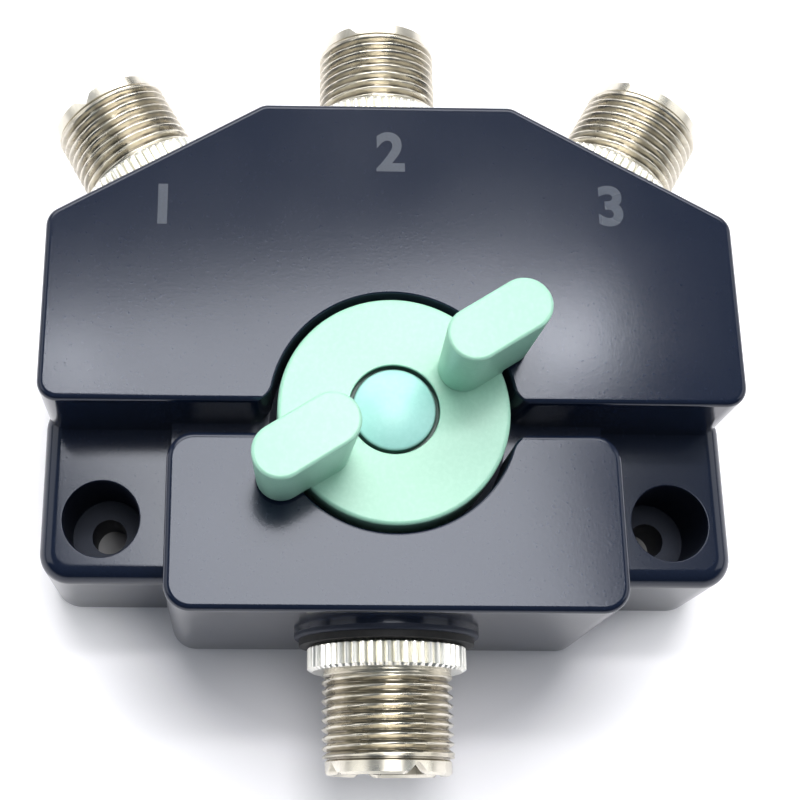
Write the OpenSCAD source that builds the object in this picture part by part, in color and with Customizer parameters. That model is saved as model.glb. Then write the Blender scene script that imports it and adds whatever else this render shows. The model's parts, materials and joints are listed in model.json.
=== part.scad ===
// Coaxial antenna switch: one common port at the front is switched to one of three ports at the rear.
// Millimetres. +X to the right, +Y to the rear, +Z up. The origin is where the knob's axis meets the base.
// Distances of the casting's faces are measured from the knob's axis.

/* [Body casting] */
// Height of the casting's top face above the base
body_h = 33; // [32:0.5:38]
// Width of the casting at its top
body_w = 84.4; // [80:0.2:92]
// Distance of the rear face
rear_d = 40; // [39:0.2:44]
// Distance of the two slanted rear faces
slant_d = 42.5; // [41.5:0.1:43.5]
// Angle between the rear face and a slanted face
port_angle = 30; // [28:1:32]
// Place of the rear block's front wall
step_y = 0.9; // [0:0.1:1.5]
// Width of the gap between the rear block and the front block
channel_w = 3.7; // [3:0.1:5]
// Height of the gap's floor
channel_h = 23.2; // [22.6:0.1:24]
// Width of the front block
front_w = 53.2; // [48:0.2:56]
// Distance of the front block's front face
front_d = 23.5; // [23:0.1:26]
// Height of the two screw ears
ear_h = 20; // [16:0.5:21]
// Distance of the ears' front face
ear_d = 18.1; // [17:0.1:20]
// How far the ears stand out past the rear block's sides
ear_proud = 0.3; // [0.1:0.1:0.6]
// How far the walls lean out from top to base
draft = 0.5; // [0.2:0.1:0.8]
// Corner radius of the rear block
rear_corner_r = 2.5; // [1.5:0.1:4]
// Corner radius of the front block
front_corner_r = 3.2; // [2:0.1:5]
// Corner radius of the ears
ear_corner_r = 3.8; // [3.2:0.1:6]
// Radius of the blocks' corners at the knob's cut-out
cutout_corner_r = 1.6; // [0.8:0.1:2.4]
// Radius of the blocks' top edges
edge_r = 0.8; // [0.4:0.1:1.2]
// Radius of the ears' top edges
ear_edge_r = 2.2; // [1:0.1:2.6]
// Wall of the casting at the ports
port_wall = 4; // [3.5:0.1:4.2]
// Roof of the casting
roof = 3; // [2:0.1:4]
// Diameter of the raised seat round each port
boss_dia = 22.6; // [21.8:0.2:23]
// Height of that seat
boss_t = 0.7; // [0.4:0.1:1]

/* [Mounting holes] */
// Distance between the two mounting holes
ear_hole_span = 70.4; // [69:0.2:71]
// How far the mounting holes lie in front of the knob's axis
ear_hole_y = 10.6; // [9.5:0.1:11]
// Diameter of a mounting hole
ear_hole_dia = 4.5; // [3.5:0.1:5.2]
// Diameter of the recess for its screw head
ear_recess_dia = 9.5; // [8.5:0.1:10]
// Thickness left under the screw head
ear_floor = 8; // [4:0.5:12]

/* [Base cover] */
// Thickness of the base cover
cover_t = 1.5; // [1:0.1:1.6]
// Width of the casting's rim round the cover
cover_rim = 2.2; // [1.8:0.1:2.6]
// Gap round the cover
cover_gap = 0.2; // [0.1:0.05:0.3]
// Diameter of the cover screws
cover_screw_dia = 3; // [2.5:0.1:3.2]
// Diameter of their heads
cover_head_dia = 5.5; // [5:0.1:5.8]
// Length of their threads in the casting
cover_screw_l = 7; // [5:0.5:9]

/* [Ports] */
// Height of the port axes above the top of the contact strips
rod_rise = 0.3; // [0.1:0.1:0.5]
// Outer diameter of the connector thread
thread_dia = 15.875; // [15.6:0.005:16]
// Length of the thread that stands out of the knurled ring
thread_l = 10; // [9:0.1:12]
// Depth of the neck that the ring and the casting hold
neck_depth = 0.2; // [0.1:0.05:0.4]
// Gap between the ring and the first turn of the thread
thread_gap = 0.4; // [0.2:0.1:0.6]
// Diameter of the plain rim
rim_dia = 15.2; // [14.8:0.1:15.5]
// Length of the plain rim
rim_l = 2; // [1.8:0.1:2.6]
// Number of notches in the rim
notch_count = 4; // [2:1:6]
// Depth of the notches
notch_depth = 1.5; // [1:0.1:1.7]
// Diameter of the connector's inside
socket_dia = 12.2; // [12:0.1:12.6]
// Depth of the connector's inside
socket_depth = 8.8; // [7:0.1:10]
// Diameter of the knurled ring over its teeth
ring_dia = 19.4; // [18.6:0.1:20.2]
// Thickness of the knurled ring
ring_t = 3.1; // [2.5:0.1:4]
// Number of teeth on the knurled ring
ring_teeth = 58; // [40:1:64]
// Depth of the teeth
ring_tooth = 0.5; // [0.3:0.05:0.6]
// Diameter of the gasket under the ring
gasket_dia = 21.4; // [20.4:0.1:21.6]
// Thickness of the gasket
gasket_t = 0.8; // [0.5:0.1:1.2]
// Diameter of the insulator's nose
nose_dia = 9.2; // [8.4:0.1:9.6]
// How far the nose ends behind the rim
nose_drop = 1.5; // [1:0.1:2.5]
// Diameter of the plug pin's hole
pin_dia = 4.1; // [4.05:0.01:4.15]
// Depth of the plug pin's hole
pin_depth = 11; // [9:0.5:12]
// Wall of the contact round that hole
contact_wall = 0.6; // [0.5:0.05:0.8]
// Width of the slots that let the contact spring
contact_slot = 0.5; // [0.3:0.05:0.7]
// Diameter of the contact's inner rod
rod_dia = 2.4; // [2:0.1:2.4]

/* [Knob] */
// Diameter of the knob's disc
knob_dia = 27.5; // [26.5:0.1:28]
// Gap between the disc and the casting
knob_gap = 0.85; // [0.6:0.05:1.2]
// How far the disc stands above the casting
knob_rise = 0.3; // [0.2:0.1:1]
// Running gap under the knob
knob_clear = 0.8; // [0.5:0.1:1]
// Height of the wings above the casting
wing_h = 13.85; // [8:0.05:16]
// Distance of a wing's middle from the axis, at its top
wing_r = 12.65; // [12:0.05:13.5]
// Length of a wing's top
wing_l = 13; // [11:0.1:13.4]
// Width of a wing's top
wing_w = 6.3; // [5:0.1:7]
// How far each end of a wing leans out from foot to top
wing_flare = 0.6; // [0.1:0.05:0.8]
// How far each side of a wing leans out from foot to top
wing_flare_side = 0.25; // [0.05:0.05:0.4]
// Radius of the wings' top edges
wing_edge = 0.4; // [0.2:0.05:0.8]
// Gap under the ends of the wings that pass the disc
wing_clear = 1.1; // [0.8:0.1:1.6]
// Angle that the knob turns from port 3 to port 1
knob_sweep = 116; // [114:1:120]
// Diameter of the cap in the knob's middle
cap_dia = 10; // [9:0.1:10.4]
// Width of the groove round the cap
cap_groove = 0.4; // [0.3:0.05:0.6]
// How far the cap's dome stands above the disc
cap_rise = 0.9; // [0.3:0.1:1.4]
// Depth of the groove round the cap
cap_groove_d = 0.8; // [0.5:0.1:1]

/* [Shaft and bushing] */
// Diameter of the shaft
shaft_dia = 6; // [5:0.1:6.4]
// Radial running clearance of the shaft in its bushing
shaft_fit = 0.05; // [0.02:0.01:0.09]
// Thickness of the casting between the knob's pocket and the chamber
deck_t = 3; // [2.5:0.1:3.2]
// Diameter of the bushing
bushing_dia = 8.6; // [8:0.1:9]
// Diameter of the bushing's flange
bushing_flange_dia = 12; // [11:0.1:13]
// Thickness of that flange
bushing_flange_t = 1; // [0.8:0.1:1.2]
// Diameter of the shaft's collar
collar_dia = 9; // [8.6:0.1:10]
// Thickness of the collar
collar_t = 0.8; // [0.6:0.1:0.9]
// Gap above the collar
collar_gap = 0.2; // [0.1:0.05:0.3]
// Diameter of the knob screw
knob_screw_dia = 3; // [2.5:0.1:3.2]
// Diameter of its head
knob_head_dia = 5.6; // [5:0.1:6]
// Height of its head
knob_head_t = 1.6; // [1.2:0.1:1.8]
// Length of its thread in the shaft
knob_screw_l = 5; // [4:0.5:6]

/* [Switch] */
// Diameter of the rotor's insulating disc
rotor_dia = 24; // [22:0.5:25]
// Thickness of that disc
rotor_t = 1.6; // [1.2:0.1:1.7]
// Thickness of the contact blade
blade_t = 0.8; // [0.6:0.1:0.9]
// Width of the contact blade
blade_w = 4.4; // [3.6:0.1:5]
// Gap between the blade's contact points and what they sweep over
contact_gap = 0.1; // [0.05:0.01:0.15]
// Height of the contact points
contact_point_t = 0.5; // [0.4:0.05:0.6]
// Diameter of the contact points
contact_point_dia = 2.4; // [2:0.1:3]
// Thickness of the fixed contact strips
strip_t = 0.8; // [0.6:0.1:1]
// Width of the fixed contact strips
strip_w = 4; // [3:0.1:4.4]
// Length of the fixed contact strips
strip_l = 4.8; // [4:0.1:5.2]
// Diameter of the round pad at the common strip's end
pad_dia = 6.4; // [5.5:0.1:7]
// Diameter of the rivets through the blade
rivet_dia = 1.8; // [1.5:0.1:2]
// Distance of the rivets from the axis
rivet_r = 7.6; // [7:0.1:8.4]
// Radius of the round chamber in the casting
chamber_r = 17; // [16.6:0.1:17.2]
// Diameter of the detent ball
ball_dia = 2.5; // [2.2:0.1:2.7]
// Distance of the detent ball from the axis
ball_r = 8.3; // [8:0.1:9]
// Depth of the ball's hole in the deck
ball_hole_d = 2.2; // [2:0.1:2.4]
// Wire of the detent spring
spring_wire = 0.35; // [0.3:0.05:0.4]

/* [Hidden] */
$fn = 64;
hull_fn = 32;
slice_t = 0.02;
arc_steps = 4;
edge_step = 30;
cut = 0.01;
overlap = 0.5;

// Small sizes that stay as they are
pocket_wall = 2.2;
rod_gap = 0.8;
rod_side_gap = 0.6;
contact_step = 0.2;
contact_bottom = 1;
contact_slot_share = 0.7;
cap_wall = 1.8;
cap_t = 0.9;
cap_edge = 0.3;
knob_web = 1;
hub_gap = 0.4;
dimple_d = 0.5;
ball_fit = 0.1;
ball_press = 0.1;
spring_end = 0.02;
rivet_head_t = 0.25;
rivet_rim = 0.6;
blade_rim = 0.4;
screw_fit = 0.1;
cross_w = 0.7;
cross_d = 0.9;

// Places of the casting's inside
deck_h = channel_h - deck_t;
pocket_r = knob_dia / 2 + knob_gap;
pocket_wall_r = pocket_r + pocket_wall;
ceiling_h = body_h - roof;
passage_r = 4.5;
post_r = 3.6;
post_in = 6.7;
post_y = 15;
front_post_in = 5.1;
front_post_back = 5.5;

// Heights of the rotor's stack, from the deck down to the ports
collar_top = deck_h - collar_gap;
rotor_top = collar_top - collar_t;
rotor_bottom = rotor_top - rotor_t;
blade_bottom = rotor_bottom - blade_t;
point_bottom = blade_bottom - contact_point_t;
strip_top = point_bottom - contact_gap;
axis_h = strip_top + rod_rise;

// The outer ports stand in the middle of their slanted faces
slant_side = meet(0, body_w / 2, 90 - port_angle, slant_d);
slant_rear = meet(90 - port_angle, slant_d, 90, rear_d);
slant_mid = (slant_side + slant_rear) / 2;
port_shift = slant_mid[0] * cos(port_angle) - slant_mid[1] * sin(port_angle);
seat_t = draft + boss_t + gasket_t;
seat_in = seat_t + port_wall;
shell_l = ring_t + thread_l + rim_l;
thread_r = thread_dia / 2;
neck_r = thread_r - neck_depth;
bore_fit = 0.1;
knob_angle = knob_sweep / 2;
touch_r = port_shift / sin(knob_angle - port_angle);
blade_tip_r = touch_r;
middle_rod_end = blade_tip_r + rod_gap;
outer_rod_end = touch_r * cos(knob_angle - port_angle) + rod_gap + rod_dia / 4;
common_rod_end = rotor_dia / 2 + rod_side_gap;

// Direction, sideways shift and face distance of each port
PORT_COMMON = [270, 0, front_d];
PORT_1 = [90 + port_angle, port_shift, slant_d];
PORT_2 = [90, 0, rear_d];
PORT_3 = [90 - port_angle, -port_shift, slant_d];

// Heights of the knob, the shaft and the rotor
knob_top = body_h + knob_rise;
knob_bottom = channel_h + knob_clear;
cap_bottom = knob_top - cap_groove_d - cap_t;
cap_seat_h = cap_bottom - cap_wall;
knob_floor = cap_seat_h - knob_web;
hub_bottom = channel_h + bushing_flange_t + hub_gap;
hub_room_r = ball_r + ball_dia;
rivet_head_dia = rivet_dia + 2 * rivet_rim;
ball_top = hub_bottom - ball_press;
spring_r = ball_dia / 2 - 2 * ball_fit;
notch_turn = 67;

// The point where two lines meet, each given by the angle of its normal and its distance
function meet(a1, d1, a2, d2) =
    let (det = sin(a2 - a1))
    [(d1 * sin(a2) - d2 * sin(a1)) / det, (d2 * cos(a1) - d1 * cos(a2)) / det];

// A closed outline with straight faces and round corners. Each face is [angle of its normal, distance].
function outline(faces, r, grow) = [
    for (i = [0:len(faces) - 1])
        let (a = faces[i], b = faces[(i + 1) % len(faces)])
        let (turn = (b[0] - a[0] + 360) % 360)
        let (c = meet(a[0], a[1] + grow - r, b[0], b[1] + grow - r))
        for (s = [0:arc_steps])
            c + r * [cos(a[0] + turn * s / arc_steps), sin(a[0] + turn * s / arc_steps)]
];

function rear_faces() = [
    [0, body_w / 2], [90 - port_angle, slant_d], [90, rear_d],
    [90 + port_angle, slant_d], [180, body_w / 2], [270, -step_y]
];
function front_faces() = [
    [0, front_w / 2], [90, step_y - channel_w], [180, front_w / 2], [270, front_d]
];
function channel_faces() = [
    [0, front_w / 2], [90, step_y + port_wall], [180, front_w / 2], [270, ear_d - port_wall]
];
function ear_faces() = [
    [0, body_w / 2 + ear_proud], [90, step_y + ear_corner_r], [180, body_w / 2 + ear_proud], [270, ear_d]
];

function lean(z) = draft * (1 - z / body_h);

// Points of an arc from one angle to another, for turned profiles
function arc(c, r, a0, a1, n) = [
    for (i = [0:n])
        let (a = a0 + (a1 - a0) * i / n)
        c + r * [cos(a), sin(a)]
];

// One thin level slice of an outline
module slice(faces, r, grow, z) {
    translate([0, 0, z]) linear_extrude(slice_t) polygon(outline(faces, r, grow));
}

// A block with leaning walls and a rounded top edge
module block(faces, h, r, edge) {
    hull() {
        slice(faces, r, lean(0), 0);
        for (a = [0:edge_step:90]) {
            pull = edge * (1 - cos(a));
            slice(faces, r - pull, lean(h - edge) - pull, h - edge * (1 - sin(a)) - slice_t);
        }
    }
}

// Puts its children on a port's axis, with +Z outwards and the origin on the gasket's outer face
module at_port(port) {
    rotate([0, 0, port[0]]) translate([port[2] + seat_t, port[1], axis_h]) rotate([0, 90, 0]) children();
}

// A cross for the screwdriver
module cross(length, bottom) {
    for (turn = [0, 90])
        rotate([0, 0, turn]) translate([-length / 2, -cross_w / 2, bottom])
            cube([length, cross_w, cross_d + cut]);
}

module at_screws() {
    for (side = [-1, 1]) {
        translate([side * (body_w / 2 - post_in), post_y, 0]) children();
        translate([side * (front_w / 2 - front_post_in), front_post_back - front_d, 0]) children();
    }
}

// ---- Casting and cover ----

module casting_outside() {
    block(rear_faces(), body_h, rear_corner_r, edge_r);
    block(front_faces(), body_h, front_corner_r, edge_r);
    block(ear_faces(), ear_h, ear_corner_r, ear_edge_r);
    linear_extrude(channel_h) polygon(outline(channel_faces(), edge_r, 0));
    for (port = [PORT_COMMON, PORT_1, PORT_2, PORT_3])
        at_port(port) translate([0, 0, -seat_in + 1]) cylinder(h = seat_in - gasket_t - 1, d = boss_dia);
}

// The hollow for the switch: a round chamber, the room behind the rear ports and the common port's recess
module casting_inside() {
    difference() {
        union() {
            translate([0, 0, -cut]) cylinder(h = deck_h + cut, r = chamber_r);
            translate([0, 0, -cut])
                linear_extrude(ceiling_h + cut) polygon(outline(rear_faces(), rear_corner_r, -port_wall));
            at_port(PORT_COMMON) translate([0, 0, chamber_r - 1 - front_d - seat_t])
                cylinder(h = front_d - chamber_r, r = passage_r);
        }
        translate([0, 0, deck_h]) cylinder(h = body_h, r = pocket_wall_r);
        at_screws() cylinder(h = body_h, r = post_r);
    }
}

// Rounds the corner between a block's wall at y and the knob's cut-out.
// inward is 1 where the block lies behind the wall, and -1 where it lies in front of it.
module cutout_corner(side, y, inward) {
    r = cutout_corner_r;
    cy = y + inward * r;
    cx = side * sqrt(pow(pocket_r + r, 2) - cy * cy);
    past = 2 * r;
    translate([0, 0, channel_h]) difference() {
        linear_extrude(body_h) polygon([
            [cx, cy],
            [cx, cy - inward * past],
            [cx - side * past, cy - inward * past],
            [cx - past * cx / (pocket_r + r), cy - past * cy / (pocket_r + r)]
        ]);
        translate([cx, cy, -cut]) cylinder(h = body_h + 1, r = r);
    }
}

module cover_outline(gap) {
    polygon(outline(rear_faces(), rear_corner_r, -cover_rim - gap));
    polygon(outline([[0, front_w / 2], [90, chamber_r], [180, front_w / 2], [270, front_d]],
        front_corner_r, -cover_rim - gap));
}

module body_casting() {
    color([0.13, 0.15, 0.22])
    difference() {
        casting_outside();
        casting_inside();
        translate([0, 0, channel_h]) cylinder(h = body_h, r = pocket_r);
        for (side = [-1, 1]) {
            cutout_corner(side, step_y, 1);
            cutout_corner(side, step_y - channel_w, -1);
        }
        cylinder(h = body_h, d = bushing_dia);
        translate([0, 0, -cut]) linear_extrude(cover_t + cut) cover_outline(0);
        for (port = [PORT_COMMON, PORT_1, PORT_2, PORT_3])
            at_port(port) translate([0, 0, -seat_in - cut])
                cylinder(h = seat_in + 1, r = neck_r + bore_fit);
        for (side = [-1, 1])
            translate([side * ear_hole_span / 2, -ear_hole_y, 0]) {
                translate([0, 0, -cut]) cylinder(h = ear_h, d = ear_hole_dia);
                translate([0, 0, ear_floor]) cylinder(h = ear_h, d = ear_recess_dia);
            }
        at_screws() cylinder(h = cover_t + cover_screw_l + 1, d = cover_screw_dia);
        ball_place() translate([0, 0, channel_h - ball_hole_d])
            cylinder(h = body_h, d = ball_dia + 2 * ball_fit);
    }
}

module base_cover() {
    color([0.16, 0.17, 0.2])
    difference() {
        linear_extrude(cover_t) cover_outline(cover_gap);
        at_screws() {
            translate([0, 0, -cut]) cylinder(h = cover_t + 1, d = cover_screw_dia + 2 * cover_gap);
            translate([0, 0, -cut])
                cylinder(h = head_cone_h() + cover_gap, r1 = cover_head_r(), r2 = cover_screw_dia / 2 + cover_gap);
        }
    }
}

function head_cone_h() = (cover_head_dia - cover_screw_dia) / 2;
function cover_head_r() = cover_head_dia / 2 + 1.5 * cover_gap;

module cover_screws() {
    color([0.6, 0.6, 0.62])
    at_screws() difference() {
        union() {
            translate([0, 0, cover_gap])
                cylinder(h = head_cone_h(), d1 = cover_head_dia, d2 = cover_screw_dia);
            translate([0, 0, cover_gap]) cylinder(h = cover_t + cover_screw_l, d = cover_screw_dia);
        }
        cross(cover_head_dia / 2, 0);
    }
}

// ---- Ports ----

module gasket(port) {
    color([0.05, 0.05, 0.06])
    at_port(port) translate([0, 0, -gasket_t]) difference() {
        cylinder(h = gasket_t, d = gasket_dia);
        translate([0, 0, -cut]) cylinder(h = gasket_t + 2 * cut, r = neck_r + bore_fit);
    }
}

module ring(port) {
    tip = ring_dia / 2;
    teeth = [for (i = [0:2 * ring_teeth - 1])
        (tip - ring_tooth * (i % 2)) * [cos(180 * i / ring_teeth), sin(180 * i / ring_teeth)]];
    color([0.8, 0.79, 0.75])
    at_port(port) difference() {
        linear_extrude(ring_t) polygon(teeth);
        translate([0, 0, -cut]) cylinder(h = ring_t + 2 * cut, r = neck_r);
    }
}

module shell(port) {
    color([0.7, 0.69, 0.64])
    at_port(port) difference() {
        union() {
            translate([0, 0, -seat_in]) cylinder(h = seat_in + ring_t + thread_gap, r = neck_r);
            translate([0, 0, ring_t + thread_gap]) cylinder(h = thread_l - thread_gap, r = thread_r);
            cylinder(h = shell_l, d = rim_dia);
        }
        translate([0, 0, -seat_in - cut]) cylinder(h = seat_in + shell_l + 1, d = socket_dia);
        for (i = [0:notch_count - 1])
            rotate([0, 0, 360 * i / notch_count + notch_turn]) translate([0, 0, shell_l]) rotate([0, 90, 0])
                translate([0, 0, socket_dia / 4]) cylinder(h = rim_dia, r = notch_depth, $fn = 4);
    }
}

module insulator(port) {
    color([0.93, 0.92, 0.88])
    at_port(port) difference() {
        union() {
            translate([0, 0, -seat_in]) cylinder(h = seat_in + shell_l - socket_depth, d = socket_dia);
            cylinder(h = shell_l - nose_drop, d = nose_dia);
        }
        translate([0, 0, contact_back()]) cylinder(h = shell_l, d = contact_dia());
        translate([0, 0, -seat_in - cut]) cylinder(h = shell_l, d = rod_dia);
    }
}

function contact_dia() = pin_dia + 2 * contact_wall;
function contact_front() = shell_l - nose_drop - contact_step;
function contact_back() = contact_front() - pin_depth - contact_bottom;

// The socket for the plug's pin, its rod and the strip that the blade touches.
// rod_end is measured from the knob's axis.
module contact(port, rod_end, strip) {
    back = rod_end - port[2] - seat_t;
    color([0.85, 0.72, 0.4])
    difference() {
        union() {
            at_port(port) {
                translate([0, 0, contact_back()])
                    cylinder(h = contact_front() - contact_back(), d = contact_dia());
                translate([0, 0, back]) cylinder(h = contact_back() - back + overlap, d = rod_dia);
            }
            rotate([0, 0, port[0]]) translate([rod_end - strip, port[1] - strip_w / 2, strip_top - strip_t])
                cube([strip + overlap, strip_w, strip_t]);
        }
        at_port(port) {
            translate([0, 0, contact_front() - pin_depth]) cylinder(h = pin_depth + 1, d = pin_dia);
            translate([-contact_dia(), -contact_slot / 2, contact_front() - pin_depth * contact_slot_share])
                cube([2 * contact_dia(), contact_slot, pin_depth]);
        }
    }
}

module common_contact() {
    contact(PORT_COMMON, common_rod_end, common_rod_end);
    color([0.85, 0.72, 0.4]) translate([0, 0, strip_top - strip_t]) cylinder(h = strip_t, d = pad_dia);
}

// ---- Knob, shaft and rotor: everything that turns ----

module turned() {
    rotate([0, 0, -knob_angle]) children();
}

// A wing's solid, pointing along +Y: a bar with round ends that leans out towards its top
module wing(side) {
    end_r = wing_w / 2;
    half = wing_l / 2 - end_r;
    foot_r = end_r - wing_flare_side;
    foot_half = half - wing_flare + wing_flare_side;
    top_h = body_h + wing_h;
    hull() {
        for (end = [-1, 1]) {
            translate([0, side * (wing_r + end * foot_half), body_h])
                cylinder(h = slice_t, r = foot_r, $fn = hull_fn);
            translate([0, side * (wing_r + end * half), top_h - wing_edge - slice_t])
                cylinder(h = slice_t, r = end_r, $fn = hull_fn);
            translate([0, side * (wing_r + end * half), top_h - slice_t])
                cylinder(h = slice_t, r = end_r - wing_edge, $fn = hull_fn);
        }
    }
}

module knob() {
    color([0.62, 0.86, 0.75])
    turned() difference() {
        union() {
            translate([0, 0, knob_bottom]) cylinder(h = knob_top - knob_bottom, d = knob_dia);
            difference() {
                union() {
                    wing(1);
                    wing(-1);
                }
                difference() {
                    translate([0, 0, body_h - 1]) cylinder(h = 1 + wing_clear, r = knob_dia);
                    translate([0, 0, body_h - 2]) cylinder(h = 3 + wing_clear, d = knob_dia);
                }
            }
        }
        translate([0, 0, knob_bottom - cut]) cylinder(h = hub_bottom - knob_bottom + cut, r = hub_room_r);
        translate([0, 0, knob_bottom]) cylinder(h = knob_floor - knob_bottom, d = shaft_dia);
        translate([0, 0, knob_bottom]) cylinder(h = body_h, r = knob_screw_dia / 2 + screw_fit);
        translate([0, 0, cap_seat_h]) cylinder(h = body_h, d = cap_dia);
        translate([0, 0, knob_top - cap_groove_d]) cylinder(h = body_h, d = cap_dia + 2 * cap_groove);
        detent_dimples();
    }
}

// Three shallow dimples under the hub, one for each port
module detent_dimples() {
    for (turn = [-1, 0, 1])
        rotate([0, 0, turn * knob_angle]) translate([0, -ball_r, hub_bottom])
            cylinder(h = dimple_d, d1 = ball_dia, d2 = ball_dia / 2);
}

module knob_cap() {
    r = cap_dia / 2;
    edge_h = knob_top - cap_edge;
    dome_h = cap_rise + cap_edge;
    dome_r = (r * r + dome_h * dome_h) / (2 * dome_h);
    half_angle = asin(r / dome_r);
    dome = arc([0, edge_h + dome_h - dome_r], dome_r, 90 - half_angle, 90, 8);
    color([0.6, 0.9, 0.86])
    turned() rotate_extrude() polygon(concat([[0, cap_bottom], [r, cap_bottom]], dome));
}

module knob_screw() {
    color([0.75, 0.75, 0.76])
    turned() difference() {
        union() {
            translate([0, 0, cap_seat_h]) cylinder(h = knob_head_t, d = knob_head_dia);
            translate([0, 0, knob_floor - knob_screw_l])
                cylinder(h = cap_seat_h - knob_floor + knob_screw_l + overlap, d = knob_screw_dia);
        }
        cross(knob_head_dia / 2, cap_seat_h + knob_head_t - cross_d);
    }
}

module shaft() {
    color([0.78, 0.66, 0.36])
    turned() difference() {
        union() {
            translate([0, 0, rotor_bottom]) cylinder(h = knob_floor - rotor_bottom, d = shaft_dia);
            translate([0, 0, rotor_top]) cylinder(h = collar_t, d = collar_dia);
        }
        translate([0, 0, knob_floor - knob_screw_l]) cylinder(h = knob_screw_l + 1, d = knob_screw_dia);
    }
}

module rotor_disc() {
    color([0.75, 0.6, 0.35])
    turned() translate([0, 0, rotor_bottom]) difference() {
        cylinder(h = rotor_t, d = rotor_dia);
        translate([0, 0, -cut]) cylinder(h = rotor_t + 2 * cut, d = shaft_dia);
        for (side = [-1, 1])
            translate([0, side * rivet_r, -cut]) cylinder(h = rotor_t + 2 * cut, d = rivet_dia);
    }
}

module rotor_blade() {
    tail_r = rivet_r + rivet_head_dia / 2 + blade_rim;
    color([0.82, 0.82, 0.8])
    turned() difference() {
        union() {
            translate([-blade_w / 2, -tail_r, blade_bottom])
                cube([blade_w, tail_r + blade_tip_r - blade_w / 2, blade_t]);
            translate([0, blade_tip_r - blade_w / 2, blade_bottom]) cylinder(h = blade_t, d = blade_w);
            translate([0, touch_r - strip_l / 2, point_bottom])
                cylinder(h = contact_point_t + cut, d = contact_point_dia);
            translate([0, 0, point_bottom]) cylinder(h = contact_point_t + cut, d = contact_point_dia);
        }
        for (side = [-1, 1])
            translate([0, side * rivet_r, blade_bottom - cut])
                cylinder(h = blade_t + 2 * cut, d = rivet_dia);
    }
}

module rotor_rivets() {
    color([0.8, 0.68, 0.38])
    turned() for (side = [-1, 1])
        translate([0, side * rivet_r, 0]) {
            translate([0, 0, blade_bottom - rivet_head_t])
                cylinder(h = rotor_top - blade_bottom + 2 * rivet_head_t, d = rivet_dia);
            translate([0, 0, blade_bottom - rivet_head_t]) cylinder(h = rivet_head_t, d = rivet_head_dia);
            translate([0, 0, rotor_top]) cylinder(h = rivet_head_t, d = rivet_head_dia);
        }
}

// ---- Bushing and detent ----

module shaft_bushing() {
    color([0.78, 0.66, 0.36])
    difference() {
        union() {
            translate([0, 0, deck_h]) cylinder(h = deck_t + overlap, d = bushing_dia);
            translate([0, 0, channel_h]) cylinder(h = bushing_flange_t, d = bushing_flange_dia);
        }
        translate([0, 0, deck_h - cut])
            cylinder(h = deck_t + bushing_flange_t + 1, r = shaft_dia / 2 + shaft_fit);
    }
}

module ball_place() {
    translate([0, -ball_r, 0]) children();
}

module detent_ball() {
    color([0.8, 0.8, 0.82]) ball_place() translate([0, 0, ball_top - ball_dia / 2]) sphere(d = ball_dia);
}

// The spring ends where its inner edge meets the ball
function spring_l() =
    let (r = spring_r - spring_wire)
    ball_top - ball_dia / 2 - sqrt(ball_dia * ball_dia / 4 - r * r) - channel_h + ball_hole_d - spring_end;

module detent_spring() {
    bottom = channel_h - ball_hole_d;
    color([0.7, 0.7, 0.72]) ball_place()
        translate([0, 0, bottom]) rotate_extrude()
            translate([spring_r - spring_wire, 0]) square([spring_wire, spring_l()]);
}

body_casting();
base_cover();
cover_screws();
gasket(PORT_COMMON);  // common_gasket
ring(PORT_COMMON);  // common_ring
shell(PORT_COMMON);  // common_shell
insulator(PORT_COMMON);  // common_insulator
common_contact();
gasket(PORT_1);  // port_1_gasket
ring(PORT_1);  // port_1_ring
shell(PORT_1);  // port_1_shell
insulator(PORT_1);  // port_1_insulator
contact(PORT_1, outer_rod_end, strip_l);  // port_1_contact
gasket(PORT_2);  // port_2_gasket
ring(PORT_2);  // port_2_ring
shell(PORT_2);  // port_2_shell
insulator(PORT_2);  // port_2_insulator
contact(PORT_2, middle_rod_end, strip_l);  // port_2_contact
gasket(PORT_3);  // port_3_gasket
ring(PORT_3);  // port_3_ring
shell(PORT_3);  // port_3_shell
insulator(PORT_3);  // port_3_insulator
contact(PORT_3, outer_rod_end, strip_l);  // port_3_contact
shaft_bushing();
detent_spring();
detent_ball();
knob();
knob_cap();
knob_screw();
shaft();
rotor_disc();
rotor_blade();
rotor_rivets();
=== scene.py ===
"""Looks of a coaxial antenna switch: painted casting, moulded knob, nickel-plated connectors."""

import json
import math

import bmesh
import bpy
from mathutils import Matrix, Vector

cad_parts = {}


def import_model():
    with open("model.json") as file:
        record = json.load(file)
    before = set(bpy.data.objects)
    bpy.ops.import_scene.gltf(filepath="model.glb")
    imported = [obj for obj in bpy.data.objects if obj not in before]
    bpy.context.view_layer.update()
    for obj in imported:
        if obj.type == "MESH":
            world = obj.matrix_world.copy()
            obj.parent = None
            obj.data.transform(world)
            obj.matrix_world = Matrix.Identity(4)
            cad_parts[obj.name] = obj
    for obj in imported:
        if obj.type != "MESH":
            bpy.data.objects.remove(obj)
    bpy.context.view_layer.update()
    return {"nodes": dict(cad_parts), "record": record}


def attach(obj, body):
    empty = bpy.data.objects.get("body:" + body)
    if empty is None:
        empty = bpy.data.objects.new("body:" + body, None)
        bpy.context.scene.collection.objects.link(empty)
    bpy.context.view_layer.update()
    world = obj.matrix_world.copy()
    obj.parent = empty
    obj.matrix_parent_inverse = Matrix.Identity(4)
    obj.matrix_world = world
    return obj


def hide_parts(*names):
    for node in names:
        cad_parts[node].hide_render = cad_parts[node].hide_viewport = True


MM = 0.001

# Sizes are in millimetres and angles in degrees, unless a comment says otherwise.
# They are those of the part's source, apart from finer edges, threads and teeth.

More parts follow.
